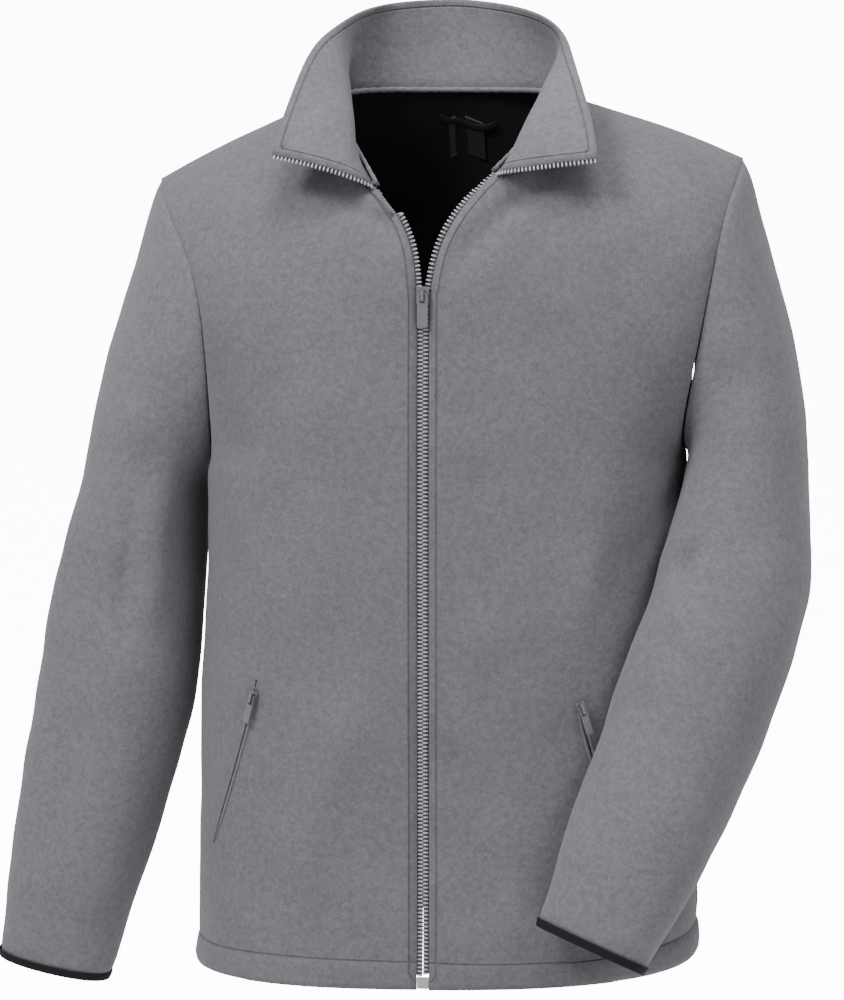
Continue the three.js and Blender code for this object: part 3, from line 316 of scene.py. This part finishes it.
def new_object(name, points, faces, materials):
    mesh = bpy.data.meshes.new(name)
    mesh.from_pydata([tuple(p) for p in points], [], faces)
    for made in materials:
        mesh.materials.append(made)
    mesh.validate()
    piece = bpy.data.objects.new(name, mesh)
    bpy.context.collection.objects.link(piece)
    return piece


def only(piece):
    bpy.ops.object.select_all(action="DESELECT")
    piece.select_set(True)
    bpy.context.view_layer.objects.active = piece


def is_rim(face):
    """A rim's faces are as short as the wall is thick; the hem's low rows are left out."""
    short = sum(edge.calc_length() < RIM_LENGTH for edge in face.edges)
    return short >= 2 and face.calc_center_median().z > HEM_STITCH_Z + 8 * MM


def regions(mesh, walled):
    """Faces in one stretch between sharp rims, largest first."""
    rims = [face for face in mesh.faces if walled and is_rim(face)]
    seen, found = {face.index for face in rims}, []
    for start in mesh.faces:
        if start.index in seen:
            continue
        seen.add(start.index)
        stretch, todo = [], [start]
        while todo:
            face = todo.pop()
            stretch.append(face)
            for edge in face.edges:
                if len(edge.link_faces) != 2 or edge.calc_face_angle(0) > RIM_ANGLE:
                    continue
                for other in edge.link_faces:
                    if other.index not in seen:
                        seen.add(other.index)
                        todo.append(other)
        found.append(stretch)
    return sorted(found, key=lambda faces: -sum(face.calc_area() for face in faces))


def with_hem_band(found):
    """The hem's groove parts its band from the panel, so the band's faces join the layer they face with."""
    layers = found[:2]
    for stretch in found[2:]:
        if max(face.calc_center_median().z for face in stretch) > HEM_STITCH_Z + 8 * MM:
            continue
        facing = 0.0
        for face in stretch:
            away = face.calc_center_median() * Vector((1, 1.4, 0))
            facing += face.normal.dot(away.normalized()) / len(stretch)
        if abs(facing) > 0.6:
            layers[0 if facing > 0 else 1] += stretch
    return layers


def refined(node, materials, steps=SMOOTHING_STEPS, crease=1.0):
    """A finer, smooth copy of a node's wall, with outer cloth, inner cloth and rims told apart."""
    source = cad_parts[node]
    mesh = bmesh.new()
    mesh.from_mesh(source.data)
    mesh.transform(source.matrix_world)
    bmesh.ops.remove_doubles(mesh, verts=mesh.verts, dist=0.02 * MM)
    flat = math.radians(40)
    bmesh.ops.join_triangles(mesh, faces=mesh.faces, angle_face_threshold=flat, angle_shape_threshold=math.pi)
    marks = mesh.faces.layers.int.new("layer")
    weights = mesh.edges.layers.float.new("crease_edge")
    mesh.faces.ensure_lookup_table()
    mesh.faces.index_update()
    found = regions(mesh, node.startswith(("front", "back", "sleeve", "collar")))
    if node.startswith(("front", "back")):
        found = with_hem_band(found)
    for face in found[1]:
        face.material_index = 1 if len(materials) > 1 else 0
    for face in mesh.faces:
        face.smooth = True
    for layer, faces in enumerate(found[:2]):
        for face in faces:
            face[marks] = layer + 1
    for edge in mesh.edges:
        parted = len({face[marks] for face in edge.link_faces}) == 2
        if parted or edge.calc_face_angle(0) > RIM_ANGLE:
            edge[weights] = crease
    data = bpy.data.meshes.new(node + "_cloth")
    mesh.to_mesh(data)
    mesh.free()
    for made in materials:
        data.materials.append(made)
    piece = bpy.data.objects.new(node + "_cloth", data)
    bpy.context.collection.objects.link(piece)
    only(piece)
    finer = piece.modifiers.new("Finer", "SUBSURF")
    finer.levels = finer.render_levels = steps
    bpy.ops.object.modifier_apply(modifier="Finer")
    return piece


def places_of(piece):
    points = np.empty(len(piece.data.vertices) * 3)
    piece.data.vertices.foreach_get("co", points)
    return points.reshape(-1, 3)


def outer_normals(piece):
    """Each vertex's normal from the outer faces alone, and whether it has one."""
    mesh = piece.data
    layer = np.empty(len(mesh.polygons), int)
    mesh.attributes["layer"].data.foreach_get("value", layer)
    normals = np.zeros((len(mesh.vertices), 3))
    for face, which in zip(mesh.polygons, layer):
        if which == 1:
            normals[list(face.vertices)] += np.array(face.normal) * face.area
    sizes = np.linalg.norm(normals, axis=1)
    normals[sizes > 0] /= sizes[sizes > 0][:, None]
    return normals, sizes > 0


def rim_paths(piece):
    """The rim of the outer face as loops of vertex numbers."""
    mesh = piece.data
    layer = np.empty(len(mesh.polygons), int)
    mesh.attributes["layer"].data.foreach_get("value", layer)
    count = {}
    for face, which in zip(mesh.polygons, layer):
        if which == 1:
            for key in face.edge_keys:
                count[key] = count.get(key, 0) + 1
    nexts = {}
    for (a, b), used in count.items():
        if used == 1:
            nexts.setdefault(a, []).append(b)
            nexts.setdefault(b, []).append(a)
    loops = []
    while nexts:
        start = next(iter(nexts))
        loop, here, passed = [start], nexts[start][0], {start}
        while here is not None:
            loop.append(here)
            passed.add(here)
            here = next((n for n in nexts.get(here, ()) if n not in passed), None)
        for v in loop:
            nexts.pop(v, None)
        loops.append(loop)
    return loops


def distance_to(points, path, closed=False):
    """Each point's distance to a line of points, and how far along it that is."""
    starts = path if closed else path[:-1]
    ends = np.roll(path, -1, axis=0) if closed else path[1:]
    best = np.full(len(points), 1e9)
    along = np.zeros(len(points))
    run = 0.0
    for a, b in zip(starts, ends):
        way = b - a
        length = float(np.linalg.norm(way))
        if length < 1e-7:
            continue
        t = np.clip(((points - a) @ way) / length**2, 0, 1)
        gap = np.linalg.norm(points - (a + t[:, None] * way), axis=1)
        nearer = gap < best
        best[nearer] = gap[nearer]
        along[nearer] = run + t[nearer] * length
        run += length
    return best, along


def give(piece, name, values):
    layer = piece.data.attributes.new(name, "FLOAT", "POINT")
    layer.data.foreach_set("value", np.asarray(values, np.float32))


def stretch_of(points, loop, start, end, low_first=True):
    """The shorter part of a loop between the places nearest to two points."""
    path = points[loop]
    i = int(np.argmin(np.linalg.norm(path - np.array(start), axis=1)))
    j = int(np.argmin(np.linalg.norm(path - np.array(end), axis=1)))
    order = list(range(len(loop)))
    forward = order[i:] + order[:i]
    forward = forward[: forward.index(j) + 1]
    back = order[i::-1] + order[:i:-1]
    back = back[: back.index(j) + 1]
    length = lambda way: np.linalg.norm(np.diff(path[way], axis=0), axis=1).sum()
    return path[min(forward, back, key=length)]


def shape_cloth(piece, node, free_rims):
    """Seams dip, folds are laid in, and the whole face undulates softly."""
    points = places_of(piece)
    normals, outer = outer_normals(piece)
    near = np.full(len(points), 1e9)
    for loop in rim_paths(piece):
        gap, _ = distance_to(points, points[loop], closed=True)
        near = np.minimum(near, gap)
    give(piece, "rim", near)
    opened = np.full(len(points), 1e9)
    for path in free_rims:
        gap, _ = distance_to(points, path)
        opened = np.minimum(opened, gap)
    seam = near < opened - 0.5 * MM
    hem = np.abs(points[:, 2] - HEM_Z) < 6 * MM
    dip = np.where(seam & ~hem, SEAM_DIP["deep"] * np.exp(-((near / SEAM_DIP["wide"]) ** 2)), 0)
    lift, folds = -dip, np.zeros(len(points))
    for row in FOLDS.get(node, ()):
        fold = dict(zip(FOLD_COLUMNS, (value * MM for value in row)))
        a = np.array([fold["x0"], fold["y0"], fold["z0"]])
        way = np.array([fold["x1"], fold["y1"], fold["z1"]]) - a
        t = ((points - a) @ way) / float(way @ way)
        aside = np.linalg.norm(points - (a + np.clip(t, 0, 1)[:, None] * way), axis=1)
        middle = np.abs(t - 0.5) * 2
        fade = np.exp(-np.clip(middle, 0, 3) ** 4)
        spread = fold["wide"] * (1 + 0.25 * np.sin(9 * t))
        folds += 1.5 * fold["high"] * fade * np.exp(-((aside / spread) ** 2))
    still = np.clip(near / (18 * MM), 0, 1)
    size = UNDULATION["size"]
    wave = np.array([
        noise.noise(Vector(p) / size) + 0.5 * noise.noise(Vector(p) / size * 2.3) for p in points
    ])
    # The cloth stays plain under the neck label.
    calm = still * np.clip(np.linalg.norm(points - np.array(LABEL_PLACE), axis=1) / 0.09 - 0.55, 0, 1)
    lift += UNDULATION["high"] * wave * calm + folds * np.clip(near / (14 * MM), 0, 1)
    moves = normals * lift[:, None]
    # The inner face and the rims follow the nearest outer point, so the wall keeps its thickness.
    nearest = KDTree(int(outer.sum()))
    for i in np.flatnonzero(outer):
        nearest.insert(points[i], int(i))
    nearest.balance()
    for i in np.flatnonzero(~outer):
        moves[i] = moves[nearest.find(points[i])[1]]
    moved = points + moves
    piece.data.vertices.foreach_set("co", moved.ravel())
    piece.data.update()
    return moved


def stitch_maps(piece, free_rims):
    points = places_of(piece)
    opened, run = np.full(len(points), 1.0), np.zeros(len(points))
    for path in free_rims:
        gap, along = distance_to(points, path)
        nearer = gap < opened
        opened[nearer], run[nearer] = gap[nearer], along[nearer]
    give(piece, "opening", opened)
    give(piece, "run", run)
    give(piece, "height", points[:, 2] - 0.04 * points[:, 0] * np.clip(np.abs(points[:, 0]) / 0.2, 0, 1))
    give(piece, "around", np.arctan2(points[:, 1], points[:, 0]) * 0.17)


def finish_piece(piece, node):
    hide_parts(node)
    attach(piece, "jacket")


def closed_front_edge(piece, sign):
    """The straight front edge from the zip's box up to the slider, on the cloth's face."""
    mesh = piece.data
    points = [v.co.copy() for v in mesh.vertices]
    surface = BVHTree.FromPolygons(points, [tuple(face.vertices) for face in mesh.polygons])
    path = []
    for z in np.linspace(CHAIN_BOTTOM_Z, SLIDER_Z, 80):
        start = Vector((sign * FRONT_EDGE * 1.5, -0.4, z))
        hit = surface.ray_cast(start, Vector((0, 1, 0)))[0]
        path.append((sign * FRONT_EDGE, hit.y, z))
    return np.array(path)


edges, cloth = {}, {}
for side, sign in SIDES.items():
    node = f"front_{side}"
    piece = refined(node, [CLOTH["body"], CLOTH["inside"]])
    points = places_of(piece)
    loop = max(rim_paths(piece), key=len)
    path = stretch_of(points, loop, (sign * 0.005, -0.129, HEM_Z), NECK_CORNER[side])
    moved = shape_cloth(piece, node, [path])
    path = closed_front_edge(piece, sign)
    opening = stretch_of(moved, loop, (sign * 0.005, -0.129, HEM_Z), NECK_CORNER[side])
    opening = opening[opening[:, 2] > path[-1][2] + 4 * MM]
    path = np.vstack([path, opening[np.argsort(opening[:, 2])]])
    stitch_maps(piece, [path])
    edges[node], cloth[node] = path, piece
    finish_piece(piece, node)
    node = f"sleeve_{side}"
    piece = refined(node, [CLOTH["sleeve"], CLOTH["inside"]])
    shape_cloth(piece, node, [])
    cloth[node] = piece
    finish_piece(piece, node)

cloth["back"] = refined("back", [CLOTH["back"], CLOTH["inside"]])
shape_cloth(cloth["back"], "back", [])
stitch_maps(cloth["back"], [])
finish_piece(cloth["back"], "back")

cloth["collar"] = refined("collar", [CLOTH["collar"], CLOTH["collar"]])
points = places_of(cloth["collar"])
collar_loop = max(rim_paths(cloth["collar"]), key=len)
for side in SIDES:
    edges[f"collar_{side}"] = stretch_of(points, collar_loop, NECK_CORNER[side], COLLAR_TIP[side])
collar_top = stretch_of(points, collar_loop, COLLAR_TIP["right"], (0, 0.075, 0.087))
collar_other = stretch_of(points, collar_loop, COLLAR_TIP["left"], (0, 0.075, 0.087))
collar_free = [edges["collar_right"], edges["collar_left"], collar_top, collar_other]
shape_cloth(cloth["collar"], "collar", collar_free)
stitch_maps(cloth["collar"], collar_free)
finish_piece(cloth["collar"], "collar")

def along_path(path, pitch, offset=0.0):
    """Places at an even pitch on a line of points, with the line's direction."""
    steps = np.linalg.norm(np.diff(path, axis=0), axis=1)
    run = np.concatenate([[0], np.cumsum(steps)])
    places = np.arange(offset, run[-1], pitch)
    spots = np.stack([np.interp(places, run, path[:, k]) for k in range(3)], axis=1)
    ahead = np.stack([np.interp(places + 2 * MM, run, path[:, k]) for k in range(3)], axis=1)
    behind = np.stack([np.interp(places - 2 * MM, run, path[:, k]) for k in range(3)], axis=1)
    ways = ahead - behind
    return spots, ways / np.linalg.norm(ways, axis=1)[:, None]


def seam_roll(name, path, radius, inward):
    """The overlocked seam allowance, a soft roll along the inside of the neck seam."""
    sides = 8
    spots, ways = along_path(path, 3 * MM)
    middle = Vector((0, -0.01, 0.01))
    points, faces = [], []
    for i, (spot, way) in enumerate(zip(spots, ways)):
        spot, way = Vector(spot), Vector(way)
        towards = (middle - spot).normalized()
        towards = (towards - way * towards.dot(way)).normalized()
        across = way.cross(towards)
        thick = radius * (1 + 0.12 * math.sin(2.1 * i))
        for k in range(sides):
            turn = 2 * math.pi * k / sides
            ring = towards * math.cos(turn) * thick + across * math.sin(turn) * thick * 1.3
            points.append(spot + towards * inward + ring)
    for i in range(len(spots) - 1):
        for k in range(sides):
            a, b = i * sides + k, i * sides + (k + 1) % sides
            faces.append((a, b, b + sides, a + sides))
    last = (len(spots) - 1) * sides
    faces += [tuple(range(sides))[::-1], tuple(range(last, last + sides))]
    made = new_object(name, points, faces, [CLOTH["collar"]])
    for face in made.data.polygons:
        face.use_smooth = True
    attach(made, "jacket")
    return made


for side in SIDES:
    piece = refined(f"cuff_binding_{side}", [BINDING], crease=0.35)
    cloth[f"cuff_{side}"] = piece
    finish_piece(piece, f"cuff_binding_{side}")
for node, made, slot_name in (
    ("neck_label", LABEL, "neck_label"),
    ("hanger_loop", TAPE_LOOP, "hanger_tape"),
):
    cloth[node] = refined(node, [made])
    finish_piece(cloth[node], node)


def tooth_mesh():
    """One moulded tooth: a bevelled block with a waist, 1 long, 1 tall, 1 deep."""
    bpy.ops.object.select_all(action="DESELECT")
    bpy.ops.mesh.primitive_cube_add(size=1)
    tooth = bpy.context.active_object
    bpy.ops.object.mode_set(mode="EDIT")
    bpy.ops.mesh.select_all(action="SELECT")
    bpy.ops.mesh.bevel(offset=0.22, segments=1)
    bpy.ops.object.mode_set(mode="OBJECT")
    points = [v.co.copy() for v in tooth.data.vertices]
    faces = [tuple(face.vertices) for face in tooth.data.polygons]
    bpy.data.objects.remove(tooth)
    return points, faces


TOOTH_POINTS, TOOTH_FACES = tooth_mesh()


def surface_of(piece):
    mesh = piece.data
    layer = np.empty(len(mesh.polygons), int)
    mesh.attributes["layer"].data.foreach_get("value", layer)
    points = [v.co.copy() for v in mesh.vertices]
    faces = [tuple(face.vertices) for face, which in zip(mesh.polygons, layer) if which == 1]
    return BVHTree.FromPolygons(points, faces)


def chain(name, piece, path, offset, shift, open_way, tape_out):
    """Teeth on a tape along a cloth edge; shift is how far they stand out, towards open_way."""
    surface = surface_of(piece)
    points, faces, kinds = [], [], []
    spots, ways = along_path(path, TOOTH_PITCH, offset)
    rows = []
    for spot, way in zip(spots, ways):
        spot, way = Vector(spot), Vector(way)
        normal = surface.find_nearest(spot)[1]
        out = (normal - way * normal.dot(way)).normalized()
        aside = way.cross(out).normalized()
        if aside.dot(open_way) < 0:
            aside.negate()
        rows.append((spot, way, out, aside))
        turn = Matrix((aside, way, out)).transposed()
        middle = spot + aside * shift - out * (TOOTH["deep"] / 2 + 0.2 * MM)
        base = len(points)
        for p in TOOTH_POINTS:
            waist = 1.0 if p.x > 0.2 else 0.72
            local = Vector((p.x * TOOTH["long"], p.y * TOOTH["tall"] * waist, p.z * TOOTH["deep"]))
            points.append(middle + turn @ local)
        faces += [tuple(base + i for i in face) for face in TOOTH_FACES]
        kinds += [0] * len(TOOTH_FACES)
    under = -WALL - 0.2 * MM
    base = len(points)
    for spot, way, out, aside in rows:
        # Below the slider the two tapes meet under the teeth.
        reach = FRONT_EDGE - 0.15 * MM if abs(spot.x) < 1.05 * FRONT_EDGE else tape_out
        outline = [
            (-TAPE["in"], under), (reach, -TAPE["down"]),
            (reach, -TAPE["down"] - TAPE["thick"]), (-TAPE["in"], under - TAPE["thick"]),
        ]
        points += [spot + aside * s + out * o for s, o in outline]
    for i in range(len(rows) - 1):
        for k in range(4):
            a, b = base + i * 4 + k, base + i * 4 + (k + 1) % 4
            faces.append((a, b, b + 4, a + 4))
            kinds.append(1)
    last = base + (len(rows) - 1) * 4
    faces += [tuple(base + k for k in (3, 2, 1, 0)), tuple(last + k for k in range(4))]
    kinds += [1, 1]
    made = new_object(name, points, faces, [TEETH, ZIP_TAPE])
    for face, kind in zip(made.data.polygons, kinds):
        face.material_index = kind
    only(made)
    bpy.ops.object.mode_set(mode="EDIT")
    bpy.ops.mesh.select_all(action="SELECT")
    bpy.ops.mesh.normals_make_consistent(inside=False)
    bpy.ops.object.mode_set(mode="OBJECT")
    return made


for side in SIDES:
    path = edges[f"front_{side}"]
    offset = TOOTH_PITCH / 2 if side == "left" else 0
    made = chain(
        f"zip_chain_{side}", cloth[f"front_{side}"], path, offset, 2.9 * MM,
        Vector((-SIDES[side], 0, 0)), 3.2 * MM)
    finish_piece(made, f"zip_tape_{side}")
    cloth[f"chain_{side}"] = made
    path = edges[f"collar_{side}"]
    made = chain(
        f"zip_chain_collar_{side}", cloth["collar"], path, 1.5 * MM, 1.6 * MM,
        Vector((0, 0, -1)), 1.0 * MM)
    finish_piece(made, f"zip_collar_{side}")
    cloth[f"collar_chain_{side}"] = made


def pocket(side):
    """Two fleece lips stand round a slanted zip's slit, on the front's own surface."""
    place = POCKETS[side]
    surface = surface_of(cloth[f"front_{side}"])
    rows = []
    steps = 60
    for i in range(steps + 1):
        t = i / steps
        x = place["x0"] + (place["x1"] - place["x0"]) * t**POCKET_CURVE
        z = place["z0"] + (place["z1"] - place["z0"]) * t
        hit, normal, _, _ = surface.ray_cast(Vector((x, -0.4, z)), Vector((0, 1, 0)))
        rows.append((hit, normal))
    points, faces, kinds = [], [], []
    profile = [(-0.5, -0.3), (-0.45, 0.5), (-0.2, 0.95), (0.15, 1.0), (0.42, 0.6), (0.5, -0.3)]
    for lip in (-1, 1):
        base = len(points)
        for i, (hit, normal) in enumerate(rows):
            before, after = rows[max(i - 1, 0)][0], rows[min(i + 1, steps)][0]
            way = (after - before).normalized()
            aside = way.cross(normal).normalized() * lip
            taper = min(1.0, 0.3 + 4 * min(i, steps - i) / steps)
            centre = hit + aside * (LIP["gap"] / 2 + LIP["wide"] / 2) * taper
            for across, high in profile:
                spread = aside * across * LIP["wide"] + normal * high * LIP["high"]
                points.append(centre + spread * taper)
        width = len(profile)
        for i in range(steps):
            for k in range(width):
                a, b = base + i * width + k, base + i * width + (k + 1) % width
                faces.append((a, b, b + width, a + width))
                kinds.append(0)
        end = base + steps * width
        faces += [tuple(range(base, base + width)), tuple(range(end, end + width))]
        kinds += [0, 0]
    base = len(points)
    half = LIP["gap"] / 2 + 0.4 * MM
    for i, (hit, normal) in enumerate(rows):
        before, after = rows[max(i - 1, 0)][0], rows[min(i + 1, steps)][0]
        aside = (after - before).normalized().cross(normal).normalized()
        for s, o in ((-half, 0.1 * MM), (half, 0.1 * MM), (half, 0.5 * MM), (-half, 0.5 * MM)):
            points.append(hit + aside * s + normal * o)
    for i in range(steps):
        for k in range(4):
            a, b = base + i * 4 + k, base + i * 4 + (k + 1) % 4
            faces.append((a, b, b + 4, a + 4))
            kinds.append(1)
    end = base + steps * 4
    faces += [tuple(range(base, base + 4)), tuple(range(end, end + 4))]
    kinds += [1, 1]
    made = new_object(f"pocket_lips_{side}", points, faces, [CLOTH["sleeve"], BINDING])
    for face, kind in zip(made.data.polygons, kinds):
        face.material_index = kind
        face.use_smooth = True
    only(made)
    bpy.ops.object.mode_set(mode="EDIT")
    bpy.ops.mesh.select_all(action="SELECT")
    bpy.ops.mesh.normals_make_consistent(inside=False)
    bpy.ops.object.mode_set(mode="OBJECT")
    finish_piece(made, f"pocket_zip_{side}")
    return made


for side in SIDES:
    cloth[f"pocket_{side}"] = pocket(side)

HARD = {"zip_slider": METAL, "zip_pull": METAL, "zip_box": TEETH}
for side in SIDES:
    HARD[f"pocket_slider_{side}"] = METAL
    HARD[f"pocket_pull_{side}"] = METAL
for node, made in HARD.items():
    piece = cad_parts[node]
    piece.data.materials.clear()
    piece.data.materials.append(made)
    round_off = piece.modifiers.new("Edges", "BEVEL")
    round_off.width = 0.25 * MM
    round_off.segments = 2
    round_off.limit_method = "ANGLE"

neck_path = stretch_of(points, collar_loop, NECK_CORNER["right"], NECK_CORNER["left"])
cloth["neck_seam"] = seam_roll("neck_seam", neck_path, 1.7 * MM, WALL)


AMBIENT, BACKDROP_GLOW = 1.05, 12.0


def studio():
    made, nodes, links, shader = material("Pale floor")
    shader.inputs["Base Color"].default_value = (0.93, 0.93, 0.93, 1)
    shader.inputs["Roughness"].default_value = 0.9
    shader.inputs["Emission Color"].default_value = (1, 1, 1, 1)
    seen = nodes.new("ShaderNodeLightPath")
    glow = nodes.new("ShaderNodeMath")
    glow.operation = "MULTIPLY"
    glow.inputs[1].default_value = BACKDROP_GLOW
    links.new(seen.outputs["Is Camera Ray"], glow.inputs[0])
    links.new(glow.outputs["Value"], shader.inputs["Emission Strength"])
    bpy.ops.mesh.primitive_plane_add(size=40, location=(0, 0, -1.15))
    floor = bpy.context.active_object
    floor.name = "floor"
    floor.data.materials.append(made)
    world = bpy.data.worlds.new("Studio")
    bpy.context.scene.world = world
    world.use_nodes = True
    world.node_tree.nodes["Background"].inputs["Color"].default_value = (1, 1, 1, 1)
    air, wires = world.node_tree.nodes, world.node_tree.links
    look, level = air.new("ShaderNodeLightPath"), air.new("ShaderNodeMapRange")
    level.inputs["To Min"].default_value = AMBIENT
    level.inputs["To Max"].default_value = BACKDROP_GLOW
    wires.new(look.outputs["Is Camera Ray"], level.inputs["Value"])
    wires.new(level.outputs["Result"], air["Background"].inputs["Strength"])
    for name, place, size, energy in (
        ("Key", (-1.5, -2.0, 2.3), 1.0, 240),
        ("Fill", (2.4, -2.2, 0.9), 1.4, 50),
        ("Top", (0.3, -0.9, 2.6), 1.0, 150),
    ):
        light = bpy.data.lights.new(name, "AREA")
        light.size = size
        light.energy = energy
        lamp = bpy.data.objects.new(name, light)
        lamp.location = place
        aim = Vector((0, 0, -0.3)) - Vector(place)
        lamp.rotation_euler = aim.to_track_quat("-Z", "Y").to_euler()
        bpy.context.collection.objects.link(lamp)


# The photograph's viewing angle: a little to the wearer's left and from above.
AZIMUTH, ELEVATION, CAMERA_DISTANCE = math.radians(9), math.radians(8), 2.6
AIM = Vector((-0.0204 * math.cos(AZIMUTH), -0.0204 * math.sin(AZIMUTH), -0.324))


def camera():
    data = bpy.data.cameras.new("Camera")
    data.lens = 113.2
    data.sensor_width = 36
    eye = bpy.data.objects.new("Camera", data)
    bpy.context.collection.objects.link(eye)
    level = math.cos(ELEVATION)
    away = Vector((math.sin(AZIMUTH) * level, -math.cos(AZIMUTH) * level, math.sin(ELEVATION)))
    eye.location = AIM + CAMERA_DISTANCE * away
    eye.rotation_euler = (-away).to_track_quat("-Z", "Y").to_euler()
    bpy.context.scene.camera = eye


studio()
camera()
